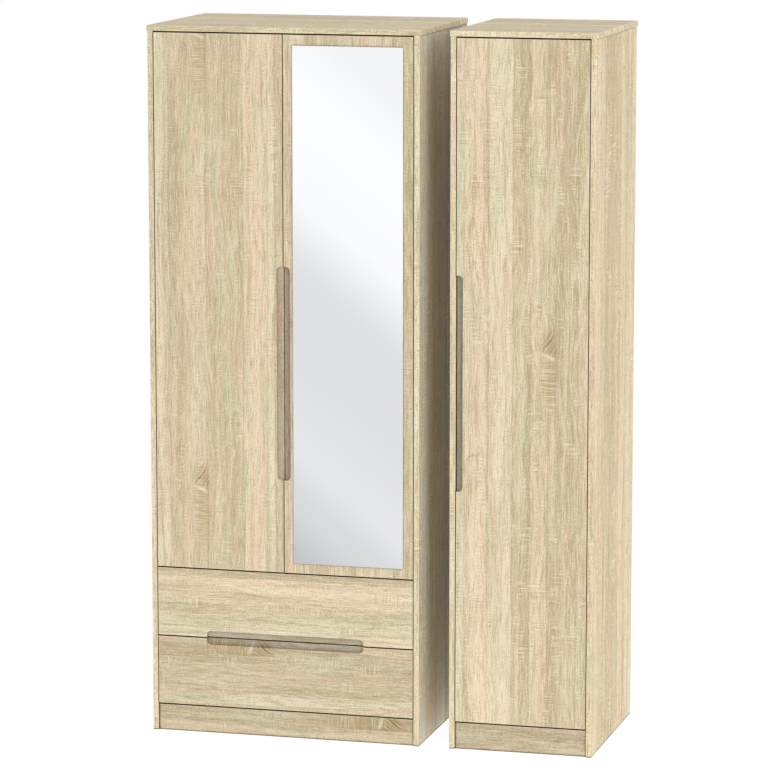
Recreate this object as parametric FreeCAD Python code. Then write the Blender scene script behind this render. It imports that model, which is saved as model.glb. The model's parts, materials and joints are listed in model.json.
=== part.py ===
import FreeCAD, Part
import math
import os

# A pair of free-standing wardrobe cabinets that belong together. The wide one
# has two tall doors, one of them mirrored, over two drawers. The narrow one
# has a single tall door. Every front is inset between the carcase boards.
# Units are millimetres. +Z is up, the fronts face -Y, and the origin is the
# middle of the pair's footprint, on the floor.

V = FreeCAD.Vector

# ---------------------------------------------------------------- dimensions
HEIGHT = 1950.0
DEPTH = 525.0            # front edge of the carcase to the back of the back panel
WIDE_WIDTH = 765.0       # over the top board
NARROW_WIDTH = 400.0
UNIT_GAP = 80.0          # clear space between the two top boards
BOARD = 15.0             # carcase boards
FRONT_BOARD = 16.0       # doors and drawer fronts
BACK_SHEET = 3.0         # hardboard backs and drawer bottoms
TOP_OVERHANG = 2.5       # the top board past the outer face of each side
REVEAL = 2.0             # gap at the left and right of every front
LEVEL_GAP = 3.0          # gap between one front and the next above it
TOP_GAP = 3.5            # gap between the doors and the top board

FLOOR_TOP = 75.0         # top face of the floor board
PLINTH_DROP = 3.0        # the front plinth ends this far below that face
PLINTH_SETBACK = 6.0
REAR_PLINTH_INSET = 40.0
DRAWER_FRONT_HEIGHT = 190.0
STOP_SETBACK = 29.0      # front edge of divider and shelf behind the carcase front
DIVIDER_COVER = 7.0      # how far the divider rises behind the doors
SHELF_Z = 1640.0         # underside of the hat shelf

GRIP_DEPTH = 10.0
GRIP_HALF_WIDTH = 19.0   # measured from the middle of the gap that it follows
GRIP_RADIUS = 12.0
DOOR_GRIP_LENGTH = 586.0
DOOR_GRIP_Z = 1012.0
DRAWER_GRIP_LENGTH = 447.0

MIRROR_THICKNESS = 4.0
TAPE_THICKNESS = 1.0
MIRROR_MARGIN = 27.5
TAPE_WIDTH = 25.0
TAPE_STRIPS = 5
TAPE_INSET = 30.0

RAIL_Z = 1560.0
RAIL_Y_FROM_FRONT = 270.0
RAIL_HEIGHT = 30.0
RAIL_THICKNESS = 15.0
RAIL_WALL = 1.0
SOCKET_WALL = 3.0
SOCKET_LENGTH = 14.0
SOCKET_PLAY = 0.3

# Concealed cup hinge. Its own frame has u from the door's hinge edge inwards,
# v from the door's front face backwards and w along the door's height.
PIVOT_U = 18.0
PIVOT_V = 7.5
CUP_U = 22.5
CUP_RADIUS = 17.5
CUP_BORE_FLOOR = 3.5
CUP_SHEET = 0.7
FLANGE_THICKNESS = 1.2
FLANGE_RADIUS = 19.5
EAR_HALF_WIDTH = 7.0
EAR_REACH = 32.0
PIN_RADIUS = 1.5
PIN_PLAY = 0.05
EYE_RADIUS = 2.9
ARM_HALF_WIDTH = 6.0
ARM_SHEET = 2.4
LUG_GAP = 0.4
LUG_THICKNESS = 1.6
LUG_HALF_SIZE = 4.0
ARM_ROUTE = [(PIVOT_U, PIVOT_V), (35.0, 20.8), (35.0, 33.2), (8.0, 33.2)]
ARM_BODY = (2.0, 9.0, 32.0, 84.0)       # u, u, v, v
PLATE_CORE = (-REVEAL, 2.0, 34.0, 86.0)
PLATE_WING = (-REVEAL, 0.0, 46.0, 60.0)
WING_REACH = 25.0
SCREW_W = 16.0
SCREW_HEAD_RADIUS = 3.5
SCREW_HEAD_HEIGHT = 1.6
SCREW_SHANK_RADIUS = 1.8
SCREW_LENGTH = 12.0
END_HINGE_INSET = 100.0
WIDE_DOOR_HINGES = 3
NARROW_DOOR_HINGES = 4

# Roller runners. Widths are measured from the carcase side's inner face, and
# heights from the underside of the cabinet member.
RUNNER_SPACE = 12.5
RUNNER_SHEET = 1.2
RUNNER_START = 26.0      # behind the carcase front
RUNNER_LENGTH = 450.0
RUNNER_LIFT = 10.0       # cabinet member above the drawer front's lower edge
CHANNEL_WIDTH = 9.5
CHANNEL_HEIGHT = 19.2
TOP_FLANGE_DELAY = 30.0  # the upper flange starts behind the front roller
ROLLER_RADIUS = 8.2
ROLLER_WIDTH = 7.2
AXLE_RADIUS = 2.0
AXLE_HEAD_RADIUS = 3.0
AXLE_HEAD = 0.5
AXLE_END_PLAY = 0.1
ROLLER_PLAY = 0.3        # between a roller and the track that it runs on
FRONT_ROLLER_Y = 14.0    # behind the start of the cabinet member
FRONT_ROLLER_Z = 12.5
REAR_ROLLER_Y = 10.0     # in front of the end of the drawer member
REAR_ROLLER_Z = 9.6
DRAWER_WEB_BOTTOM = 5.0
DRAWER_WEB_TOP = 40.0
DRAWER_MEMBER_START = 20.0
TRACK_CLEAR_OF_WEB = 2.0

DRAWER_BOARD = 12.0
DRAWER_SIDE_LIFT = 12.0
DRAWER_SIDE_HEIGHT = 130.0
DRAWER_BOTTOM_LIFT = 10.0
DRAWER_BOTTOM_HOUSING = 5.0

CAM_RADIUS = 7.5
CAM_DEPTH = 12.5
CAM_INSET = 34.0         # from the board's end to the middle of the cam
CAM_EDGE = 60.0          # from the board's front and back edges
BOLT_RADIUS = 3.5
BOLT_ANCHOR = 11.0       # how far the bolt is threaded into the mating board
BOLT_END_PLAY = 0.5      # between the bolt's head and the cam

BUMPER_RADIUS = 3.0
BUMPER_PLAY = 0.2
BUMPER_FROM_EDGE = 60.0
JOINER_HALF_WIDTH = 9.0
JOINER_SHEET = 1.0

PARALLEL = 0.99          # least cosine between two directions that count as one
CUT_PAST = 1.0           # how far a cutter stands out of the face that it cuts
SMALLEST_FLAT = 0.02     # left between two round edges that nearly meet

# ------------------------------------------------------------ derived places
MIRROR_PROUD = MIRROR_THICKNESS + TAPE_THICKNESS
TOTAL_WIDTH = WIDE_WIDTH + UNIT_GAP + NARROW_WIDTH
FRONT_Y = -(DEPTH + MIRROR_PROUD) / 2 + MIRROR_PROUD
BACK_Y = FRONT_Y + DEPTH
SIDE_BACK_Y = BACK_Y - BACK_SHEET
TOP_UNDERSIDE = HEIGHT - BOARD
FLOOR_BOARD_FRONT = FRONT_Y + PLINTH_SETBACK + BOARD
LOWER_FRONT_Z = FLOOR_TOP + REVEAL
UPPER_FRONT_Z = LOWER_FRONT_Z + DRAWER_FRONT_HEIGHT + LEVEL_GAP
WIDE_DOOR_Z = UPPER_FRONT_Z + DRAWER_FRONT_HEIGHT + LEVEL_GAP
DIVIDER_TOP = WIDE_DOOR_Z + DIVIDER_COVER
DOOR_TOP = TOP_UNDERSIDE - TOP_GAP
FRONT_BACK_Y = FRONT_Y + FRONT_BOARD


class Unit:
    """The outline of one cabinet: its ends and the inner faces of its sides."""

    def __init__(self, left, width):
        self.left = left
        self.right = left + width
        self.inner_left = left + TOP_OVERHANG + BOARD
        self.inner_right = self.right - TOP_OVERHANG - BOARD
        self.middle = (self.left + self.right) / 2


WIDE = Unit(-TOTAL_WIDTH / 2, WIDE_WIDTH)
NARROW = Unit(WIDE.right + UNIT_GAP, NARROW_WIDTH)


# ------------------------------------------------------------------- helpers
def box(x0, x1, y0, y1, z0, z1):
    return Part.makeBox(x1 - x0, y1 - y0, z1 - z0, V(x0, y0, z0))


def rod(start, axis, radius, length):
    return Part.makeCylinder(radius, length, V(*start), V(*axis))


def fuse(shapes):
    whole = shapes[0]
    for shape in shapes[1:]:
        whole = whole.fuse(shape)
    return whole.removeSplitter()


def round_edges_along(block, axis, radius):
    """Round the four edges of a box that run along one axis."""
    along = [e for e in block.Edges if abs(e.tangentAt(0).dot(V(*axis))) > PARALLEL]
    return block.makeFillet(radius, along)


def seat(parts, names, fasteners):
    """Cut each fastener's own shape out of the named boards that it enters."""
    for name in names:
        for fastener in fasteners:
            if parts[name].BoundBox.intersect(fastener.BoundBox):
                parts[name] = parts[name].cut(fastener)


# ------------------------------------------------------------------- carcase
def cam_fitting(start, bolt_axis, cam_axis):
    """One cam and its bolt. start is where the bolt crosses the joint, mid-board."""
    joint = V(*start)
    along = V(*bolt_axis)
    into = V(*cam_axis)
    mouth = joint + along * CAM_INSET - into * (BOARD / 2)
    cam = Part.makeCylinder(CAM_RADIUS, CAM_DEPTH, mouth, into)
    bolt_length = BOLT_ANCHOR + CAM_INSET - CAM_RADIUS - BOLT_END_PLAY
    bolt = Part.makeCylinder(BOLT_RADIUS, bolt_length, joint - along * BOLT_ANCHOR, along)
    return [cam, bolt]


def carcase(prefix, unit, boards):
    """The boards and knock-down fittings of one cabinet.

    boards maps a name to the underside and front edge of each board that
    lies between the two sides.
    """
    parts = {}
    side_x = {"left": unit.left + TOP_OVERHANG, "right": unit.inner_right}
    for hand, x in side_x.items():
        parts[f"{prefix}_{hand}_side"] = box(
            x, x + BOARD, FRONT_Y, SIDE_BACK_Y, 0, TOP_UNDERSIDE)
    parts[f"{prefix}_top"] = box(unit.left, unit.right, FRONT_Y, BACK_Y, TOP_UNDERSIDE, HEIGHT)

    inner = (unit.inner_left, unit.inner_right)
    plinth_front = FRONT_Y + PLINTH_SETBACK
    parts[f"{prefix}_front_plinth"] = box(
        *inner, plinth_front, plinth_front + BOARD, 0, FLOOR_TOP - PLINTH_DROP)
    rear = SIDE_BACK_Y - REAR_PLINTH_INSET
    parts[f"{prefix}_rear_plinth"] = box(*inner, rear - BOARD, rear, 0, FLOOR_TOP - BOARD)

    fittings = []
    for name, (underside, front) in boards.items():
        parts[f"{prefix}_{name}"] = box(*inner, front, SIDE_BACK_Y, underside, underside + BOARD)
        level = underside + BOARD / 2
        for y in (front + CAM_EDGE, SIDE_BACK_Y - CAM_EDGE):
            for x, inwards in ((unit.inner_left, 1), (unit.inner_right, -1)):
                fittings += cam_fitting((x, y, level), (inwards, 0, 0), (0, 0, 1))
    for y in (FRONT_Y + CAM_EDGE, SIDE_BACK_Y - CAM_EDGE):
        for x, inwards in ((unit.inner_left, 1), (unit.inner_right, -1)):
            mid_side = x - inwards * BOARD / 2
            fittings += cam_fitting((mid_side, y, TOP_UNDERSIDE), (0, 0, -1), (-inwards, 0, 0))
    seat(parts, list(parts), fittings)
    parts[f"{prefix}_cam_fittings"] = Part.makeCompound(fittings)
    return parts


def back_panels(prefix, unit):
    """Nailed hardboard: two sheets and a joining strip, or one sheet."""
    left = unit.left + TOP_OVERHANG
    right = unit.right - TOP_OVERHANG
    if prefix == "narrow":
        return {"narrow_back": box(left, right, SIDE_BACK_Y, BACK_Y, 0, TOP_UNDERSIDE)}
    middle = unit.middle
    play = JOINER_SHEET / 2
    sheets = [
        box(left, middle - play, SIDE_BACK_Y, BACK_Y, 0, TOP_UNDERSIDE),
        box(middle + play, right, SIDE_BACK_Y, BACK_Y, 0, TOP_UNDERSIDE),
    ]
    strip_front = SIDE_BACK_Y - JOINER_SHEET
    spans = ((DIVIDER_TOP, SHELF_Z), (SHELF_Z + BOARD, TOP_UNDERSIDE))
    strips = [
        fuse([
            box(middle - JOINER_HALF_WIDTH, middle + JOINER_HALF_WIDTH,
                strip_front, SIDE_BACK_Y, low, high),
            box(middle - play, middle + play, SIDE_BACK_Y, BACK_Y, low, high),
        ])
        for low, high in spans
    ]
    return {
        "wide_back_sheets": Part.makeCompound(sheets),
        "wide_back_joiners": Part.makeCompound(strips),
    }


def oval_bar(x0, x1, height, thickness):
    """A bar along X with a stadium section, centred on the rail's axis."""
    y = FRONT_Y + RAIL_Y_FROM_FRONT
    bar = box(x0, x1, y - thickness / 2, y + thickness / 2, RAIL_Z - height / 2, RAIL_Z + height / 2)
    return round_edges_along(bar, (1, 0, 0), (thickness - SMALLEST_FLAT) / 2)


def hanging_rail(prefix, unit):
    """An oval tube, held at each end in a socket on the carcase side."""
    x0, x1 = unit.inner_left + SOCKET_WALL, unit.inner_right - SOCKET_WALL
    outer = oval_bar(x0, x1, RAIL_HEIGHT, RAIL_THICKNESS)
    bore = oval_bar(x0, x1, RAIL_HEIGHT - 2 * RAIL_WALL, RAIL_THICKNESS - 2 * RAIL_WALL)
    grow = 2 * (SOCKET_WALL + SOCKET_PLAY)
    hole = (RAIL_HEIGHT + 2 * SOCKET_PLAY, RAIL_THICKNESS + 2 * SOCKET_PLAY)
    sockets = []
    for face, inwards in ((unit.inner_left, 1), (unit.inner_right, -1)):
        ends = sorted((face, face + inwards * SOCKET_LENGTH))
        mouth = sorted((face + inwards * SOCKET_WALL, face + inwards * SOCKET_LENGTH))
        shell = oval_bar(*ends, RAIL_HEIGHT + grow, RAIL_THICKNESS + grow)
        sockets.append(shell.cut(oval_bar(*mouth, *hole)))
    return {
        f"{prefix}_hanging_rail": outer.cut(bore),
        f"{prefix}_rail_sockets": Part.makeCompound(sockets),
    }


# -------------------------------------------------------------------- hinges
def hinge_cup():
    """The pressed cup with its screw flange and the two lugs for the pin."""
    depth = FRONT_BOARD - CUP_BORE_FLOOR
    shell = rod((CUP_U, CUP_BORE_FLOOR, 0), (0, 1, 0), CUP_RADIUS, depth)
    flange = rod((CUP_U, FRONT_BOARD, 0), (0, 1, 0), FLANGE_RADIUS, FLANGE_THICKNESS)
    ears = box(CUP_U - EAR_HALF_WIDTH, CUP_U + EAR_HALF_WIDTH,
               FRONT_BOARD, FRONT_BOARD + FLANGE_THICKNESS, -EAR_REACH, EAR_REACH)
    floor = CUP_BORE_FLOOR + CUP_SHEET
    hollow = rod((CUP_U, floor, 0), (0, 1, 0), CUP_RADIUS - CUP_SHEET, depth + FLANGE_THICKNESS)
    lugs = []
    inner = ARM_HALF_WIDTH + LUG_GAP
    for low in (inner, -inner - LUG_THICKNESS):
        lugs.append(box(PIVOT_U - LUG_HALF_SIZE, PIVOT_U + LUG_HALF_SIZE,
                        floor, PIVOT_V + LUG_HALF_SIZE, low, low + LUG_THICKNESS))
    cup = fuse([fuse([shell, flange, ears]).cut(hollow)] + lugs)
    return cup.cut(hinge_pin())


def hinge_pin():
    reach = ARM_HALF_WIDTH + LUG_GAP + LUG_THICKNESS
    return rod((PIVOT_U, PIVOT_V, -reach), (0, 0, 1), PIN_RADIUS, 2 * reach)


def hinge_arm():
    """A cranked strip from the eye on the pin to the body on the plate."""
    pieces = [rod((PIVOT_U, PIVOT_V, -ARM_HALF_WIDTH), (0, 0, 1), EYE_RADIUS, 2 * ARM_HALF_WIDTH)]
    for (u0, v0), (u1, v1) in zip(ARM_ROUTE, ARM_ROUTE[1:]):
        length = math.hypot(u1 - u0, v1 - v0)
        strip = box(0, length, -ARM_SHEET / 2, ARM_SHEET / 2, -ARM_HALF_WIDTH, ARM_HALF_WIDTH)
        strip.rotate(V(0, 0, 0), V(0, 0, 1), math.degrees(math.atan2(v1 - v0, u1 - u0)))
        strip.translate(V(u0, v0, 0))
        pieces.append(strip)
        pieces.append(rod((u1, v1, -ARM_HALF_WIDTH), (0, 0, 1), ARM_SHEET / 2, 2 * ARM_HALF_WIDTH))
    pieces.append(box(*ARM_BODY, -ARM_HALF_WIDTH, ARM_HALF_WIDTH))
    eye = rod((PIVOT_U, PIVOT_V, -ARM_HALF_WIDTH), (0, 0, 1), PIN_RADIUS + PIN_PLAY, 2 * ARM_HALF_WIDTH)
    return fuse(pieces).cut(eye)


def hinge_screws():
    screws = []
    middle = (PLATE_WING[2] + PLATE_WING[3]) / 2
    for w in (-SCREW_W, SCREW_W):
        head = rod((0, middle, w), (1, 0, 0), SCREW_HEAD_RADIUS, SCREW_HEAD_HEIGHT)
        shank = rod((-SCREW_LENGTH, middle, w), (1, 0, 0), SCREW_SHANK_RADIUS, SCREW_LENGTH)
        screws.append(head.fuse(shank))
    return screws


def hinge_plate():
    core = box(*PLATE_CORE, -ARM_HALF_WIDTH, ARM_HALF_WIDTH)
    wings = box(*PLATE_WING, -WING_REACH, WING_REACH)
    plate = fuse([core, wings])
    for screw in hinge_screws():
        plate = plate.cut(screw)
    return plate


def placed(shape, edge_x, inwards, z):
    """Move a hinge shape to a door's hinge edge, mirrored for a right-hand one."""
    copy = shape.copy()
    if inwards < 0:
        copy = copy.mirror(V(0, 0, 0), V(1, 0, 0))
    copy.translate(V(edge_x, FRONT_Y, z))
    return copy


def hinge_set(edge_x, inwards, heights):
    """Each kind of hinge piece, at every height along one door edge."""
    kinds = {
        "cups": [hinge_cup()],
        "pins": [hinge_pin()],
        "arms": [hinge_arm()],
        "plates": [hinge_plate()],
        "screws": hinge_screws(),
        "bores": [rod((CUP_U, CUP_BORE_FLOOR, 0), (0, 1, 0), CUP_RADIUS, FRONT_BOARD)],
    }
    return {
        kind: [placed(shape, edge_x, inwards, z) for z in heights for shape in shapes]
        for kind, shapes in kinds.items()
    }


def hinge_heights(door_bottom, count):
    low = door_bottom + END_HINGE_INSET
    high = DOOR_TOP - END_HINGE_INSET
    return [low + (high - low) * i / (count - 1) for i in range(count)]


# -------------------------------------------------------------------- fronts
def grip(centre_x, centre_z, half_x, half_z):
    """The cutter for a finger groove with rounded corners."""
    block = box(centre_x - half_x, centre_x + half_x, FRONT_Y - CUT_PAST, FRONT_Y + GRIP_DEPTH,
                centre_z - half_z, centre_z + half_z)
    return round_edges_along(block, (0, 1, 0), GRIP_RADIUS)


def front(x0, x1, z0, z1, cutters):
    panel = box(x0, x1, FRONT_Y, FRONT_BACK_Y, z0, z1)
    for cutter in cutters:
        panel = panel.cut(cutter)
    return panel


def mirror_and_tape(x0, x1, z0, z1):
    glass_front = FRONT_Y - MIRROR_PROUD
    glass = box(x0, x1, glass_front, glass_front + MIRROR_THICKNESS, z0, z1)
    pitch = (z1 - z0 - 2 * TAPE_INSET - TAPE_WIDTH) / (TAPE_STRIPS - 1)
    strips = []
    for i in range(TAPE_STRIPS):
        low = z0 + TAPE_INSET + i * pitch
        strips.append(box(x0 + TAPE_INSET, x1 - TAPE_INSET,
                          FRONT_Y - TAPE_THICKNESS, FRONT_Y, low, low + TAPE_WIDTH))
    return glass, Part.makeCompound(strips)


def bumpers(places):
    """Soft stops between a board's front edge and the back of a door."""
    length = FRONT_Y + STOP_SETBACK - FRONT_BACK_Y - BUMPER_PLAY
    start = FRONT_BACK_Y + BUMPER_PLAY
    pads = [rod((x, start, z), (0, 1, 0), BUMPER_RADIUS, length) for x, z in places]
    return Part.makeCompound(pads)


# ------------------------------------------------------------------- drawers
def mirrored(shape):
    """The same shape on the other side of the wide cabinet."""
    return shape.mirror(V(WIDE.middle, 0, 0), V(1, 0, 0))


def roller(x, y, z):
    wheel = rod((x, y, z), (1, 0, 0), ROLLER_RADIUS, ROLLER_WIDTH)
    bore = rod((x, y, z), (1, 0, 0), AXLE_RADIUS + PIN_PLAY, ROLLER_WIDTH)
    return wheel.cut(bore)


def cabinet_member(z):
    """The channel on the left-hand side board, its axle and its front roller."""
    face = WIDE.inner_left
    web_face = face + RUNNER_SHEET
    reach = face + CHANNEL_WIDTH
    start = FRONT_Y + RUNNER_START
    end = start + RUNNER_LENGTH
    axle_y = start + FRONT_ROLLER_Y
    axle_z = z + FRONT_ROLLER_Z
    roller_x = web_face + AXLE_HEAD
    head_x = roller_x + ROLLER_WIDTH + AXLE_END_PLAY
    member = fuse([
        box(face, web_face, start, end, z, z + CHANNEL_HEIGHT),
        box(face, reach, start, end, z, z + RUNNER_SHEET),
        box(face, reach, start + TOP_FLANGE_DELAY, end,
            z + CHANNEL_HEIGHT - RUNNER_SHEET, z + CHANNEL_HEIGHT),
        rod((face, axle_y, axle_z), (1, 0, 0), AXLE_RADIUS, head_x - face),
        rod((head_x, axle_y, axle_z), (1, 0, 0), AXLE_HEAD_RADIUS, AXLE_HEAD),
    ])
    return member, roller(roller_x, axle_y, axle_z)


def drawer_member(z):
    """The angle on the drawer's left-hand side, its axle and its rear roller."""
    outer = WIDE.inner_left + RUNNER_SPACE
    web_face = outer - RUNNER_SHEET
    start = FRONT_Y + DRAWER_MEMBER_START
    end = start + RUNNER_LENGTH
    track = z + FRONT_ROLLER_Z + ROLLER_RADIUS + ROLLER_PLAY
    axle_y = end - REAR_ROLLER_Y
    axle_z = z + REAR_ROLLER_Z
    head_x = WIDE.inner_left + RUNNER_SHEET + ROLLER_PLAY
    roller_x = head_x + AXLE_HEAD + AXLE_END_PLAY
    member = fuse([
        box(web_face, outer, start, end, z + DRAWER_WEB_BOTTOM, z + DRAWER_WEB_TOP),
        box(WIDE.inner_left + TRACK_CLEAR_OF_WEB, outer, start, end, track, track + RUNNER_SHEET),
        rod((head_x, axle_y, axle_z), (1, 0, 0), AXLE_RADIUS, outer - head_x),
        rod((head_x, axle_y, axle_z), (1, 0, 0), AXLE_HEAD_RADIUS, AXLE_HEAD),
    ])
    return member, roller(roller_x, axle_y, axle_z)


def drawer(name, front_z, groove):
    """One drawer's box, front and runners, and the rollers at both ends."""
    x0 = WIDE.inner_left + RUNNER_SPACE
    x1 = WIDE.inner_right - RUNNER_SPACE
    low = front_z + DRAWER_SIDE_LIFT
    high = low + DRAWER_SIDE_HEIGHT
    rear = FRONT_Y + DRAWER_MEMBER_START + RUNNER_LENGTH
    inner = (x0 + DRAWER_BOARD, x1 - DRAWER_BOARD)
    housing = DRAWER_BOTTOM_HOUSING
    bottom_z = low + DRAWER_BOTTOM_LIFT
    bottom = box(inner[0] - housing, inner[1] + housing,
                 FRONT_BACK_Y - housing, rear - DRAWER_BOARD + housing,
                 bottom_z, bottom_z + BACK_SHEET)
    parts = {
        f"{name}_front": front(WIDE.inner_left + REVEAL, WIDE.inner_right - REVEAL,
                               front_z, front_z + DRAWER_FRONT_HEIGHT, [groove]),
        f"{name}_left_side": box(x0, inner[0], FRONT_BACK_Y, rear, low, high),
        f"{name}_right_side": box(inner[1], x1, FRONT_BACK_Y, rear, low, high),
        f"{name}_back": box(*inner, rear - DRAWER_BOARD, rear, low, high),
    }
    seat(parts, list(parts), [bottom])
    sides = [parts.pop(f"{name}_left_side"), parts.pop(f"{name}_right_side")]
    parts[f"{name}_sides"] = Part.makeCompound(sides)
    parts[f"{name}_bottom"] = bottom

    channel, front_roller = cabinet_member(front_z + RUNNER_LIFT)
    angle, rear_roller = drawer_member(front_z + RUNNER_LIFT)
    parts[f"{name}_runners"] = Part.makeCompound([angle, mirrored(angle)])
    parts[f"{name}_front_rollers"] = Part.makeCompound([front_roller, mirrored(front_roller)])
    parts[f"{name}_rear_rollers"] = Part.makeCompound([rear_roller, mirrored(rear_roller)])
    return parts, [channel, mirrored(channel)]


# ------------------------------------------------------------------ assembly
def wide_cabinet():
    parts = carcase("wide", WIDE, {
        "floor": (FLOOR_TOP - BOARD, FLOOR_BOARD_FRONT),
        "divider": (DIVIDER_TOP - BOARD, FRONT_Y + STOP_SETBACK),
        "hat_shelf": (SHELF_Z, FRONT_Y + STOP_SETBACK),
    })
    parts.update(back_panels("wide", WIDE))
    parts.update(hanging_rail("wide", WIDE))

    left_edge = WIDE.inner_left + REVEAL
    right_edge = WIDE.inner_right - REVEAL
    left = hinge_set(left_edge, 1, hinge_heights(WIDE_DOOR_Z, WIDE_DOOR_HINGES))
    right = hinge_set(right_edge, -1, hinge_heights(WIDE_DOOR_Z, WIDE_DOOR_HINGES))
    screws = left["screws"] + right["screws"]
    seat(parts, ["wide_left_side", "wide_right_side"], screws)
    parts["wide_hinge_screws"] = Part.makeCompound(screws)
    parts["wide_hinge_plates"] = Part.makeCompound(left["plates"] + right["plates"])

    groove = grip(WIDE.middle, DOOR_GRIP_Z, GRIP_HALF_WIDTH, DOOR_GRIP_LENGTH / 2)
    half_gap = REVEAL / 2
    doors = {
        "left": (left_edge, WIDE.middle - half_gap, left),
        "mirror": (WIDE.middle + half_gap, right_edge, right),
    }
    for name, (x0, x1, hinges) in doors.items():
        parts[f"{name}_door"] = front(x0, x1, WIDE_DOOR_Z, DOOR_TOP, [groove] + hinges["bores"])
        for kind in ("cups", "pins", "arms"):
            parts[f"{name}_hinge_{kind}"] = Part.makeCompound(hinges[kind])
    parts["mirror"], parts["mirror_tape"] = mirror_and_tape(
        WIDE.middle + half_gap + MIRROR_MARGIN, right_edge - MIRROR_MARGIN,
        WIDE_DOOR_Z + MIRROR_MARGIN, DOOR_TOP - MIRROR_MARGIN)

    divider_stop = WIDE_DOOR_Z + DIVIDER_COVER / 2
    shelf_stop = SHELF_Z + BOARD / 2
    parts["wide_door_bumpers"] = bumpers([
        (WIDE.middle + offset, z)
        for z in (divider_stop, shelf_stop)
        for offset in (-BUMPER_FROM_EDGE, BUMPER_FROM_EDGE)
    ])
    return parts


def narrow_cabinet():
    parts = carcase("narrow", NARROW, {
        "floor": (FLOOR_TOP - BOARD, FLOOR_BOARD_FRONT),
        "hat_shelf": (SHELF_Z, FRONT_Y + STOP_SETBACK),
    })
    parts.update(back_panels("narrow", NARROW))
    parts.update(hanging_rail("narrow", NARROW))

    left_edge = NARROW.inner_left + REVEAL
    right_edge = NARROW.inner_right - REVEAL
    door_bottom = FLOOR_TOP + REVEAL
    hinges = hinge_set(right_edge, -1, hinge_heights(door_bottom, NARROW_DOOR_HINGES))
    seat(parts, ["narrow_right_side"], hinges["screws"])
    groove = grip(left_edge - REVEAL / 2, (door_bottom + DOOR_TOP) / 2,
                  GRIP_HALF_WIDTH, DOOR_GRIP_LENGTH / 2)
    parts["narrow_door"] = front(left_edge, right_edge, door_bottom, DOOR_TOP,
                                 [groove] + hinges["bores"])
    for kind in ("cups", "pins", "arms", "plates", "screws"):
        parts[f"narrow_hinge_{kind}"] = Part.makeCompound(hinges[kind])
    parts["narrow_door_bumpers"] = bumpers([(left_edge + BUMPER_FROM_EDGE, SHELF_Z + BOARD / 2)])
    return parts


def drawers():
    split = UPPER_FRONT_Z - LEVEL_GAP / 2
    groove = grip(WIDE.middle, split, DRAWER_GRIP_LENGTH / 2, GRIP_HALF_WIDTH)
    parts = {}
    channels = []
    for name, front_z in (("lower_drawer", LOWER_FRONT_Z), ("upper_drawer", UPPER_FRONT_Z)):
        pieces, pair = drawer(name, front_z, groove)
        parts.update(pieces)
        channels += pair
    parts["cabinet_runners"] = Part.makeCompound(channels)
    return parts


def main():
    os.makedirs("parts", exist_ok=True)
    nodes = {}
    nodes.update(wide_cabinet())
    nodes.update(drawers())
    nodes.update(narrow_cabinet())
    for name, shape in nodes.items():
        shape.exportStep(f"parts/{name}.step")
    print(len(nodes), "nodes written")


main()
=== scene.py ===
"""Looks for the wardrobe pair: camera, studio, materials and the small fittings.

Lengths are in metres unless a name ends in MM. The frame gives every place.
"""
import json
import math
import random

import bmesh
import bpy
from mathutils import Matrix, Vector


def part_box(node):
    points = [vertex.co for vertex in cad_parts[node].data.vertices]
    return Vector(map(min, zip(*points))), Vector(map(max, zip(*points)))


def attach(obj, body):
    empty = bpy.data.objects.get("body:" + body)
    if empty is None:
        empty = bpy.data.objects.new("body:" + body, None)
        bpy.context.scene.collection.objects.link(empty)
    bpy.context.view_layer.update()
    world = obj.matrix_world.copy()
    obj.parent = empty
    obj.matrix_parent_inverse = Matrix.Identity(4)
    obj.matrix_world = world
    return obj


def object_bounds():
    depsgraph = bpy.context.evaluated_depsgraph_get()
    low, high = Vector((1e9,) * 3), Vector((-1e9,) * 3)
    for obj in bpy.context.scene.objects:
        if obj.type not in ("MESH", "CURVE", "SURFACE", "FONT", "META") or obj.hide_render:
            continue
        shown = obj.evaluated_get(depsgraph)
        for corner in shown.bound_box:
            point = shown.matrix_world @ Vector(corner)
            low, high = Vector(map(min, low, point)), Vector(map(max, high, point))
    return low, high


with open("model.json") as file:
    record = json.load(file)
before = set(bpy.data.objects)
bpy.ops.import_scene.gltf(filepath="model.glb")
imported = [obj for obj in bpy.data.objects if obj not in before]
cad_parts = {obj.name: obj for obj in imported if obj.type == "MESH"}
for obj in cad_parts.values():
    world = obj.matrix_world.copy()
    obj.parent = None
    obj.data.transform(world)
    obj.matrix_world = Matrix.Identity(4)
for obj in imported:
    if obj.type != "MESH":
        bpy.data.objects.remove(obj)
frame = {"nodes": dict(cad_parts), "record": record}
CAD_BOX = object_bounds()
NODES = frame["nodes"]
OPENINGS = {o["name"]: o["box_m"] for o in frame["record"]["physics"]["openings"]}
SCENE = bpy.context.scene

MM = 0.001
BOARD_ARRIS_MM = 0.4
MIRROR_ARRIS_MM = 1.5
ARRIS_ANGLE_DEG = 50       # only edges sharper than this get an arris
WELD_REACH = 0.02 * MM

CAMERA_PLACE = (2.790, -10.492, 2.6725)
CAMERA_TURN_DEG = 15.033
CAMERA_TILT_DEG = -8.989
CAMERA_VIEW_DEG = 11.0155
CAMERA_REACH = 100

STUDIO_LEVEL = 0.78        # how bright the empty studio is to everything but the camera
FLOOR_GLOW = 0.93
KEY_PLACE, KEY_SIZE, KEY_WATTS = (4.8, -5.2, 3.0), 2.6, 165
FILL_PLACE, FILL_SIZE, FILL_WATTS = (-3.5, -6.5, 2.4), 3.5, 15

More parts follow.
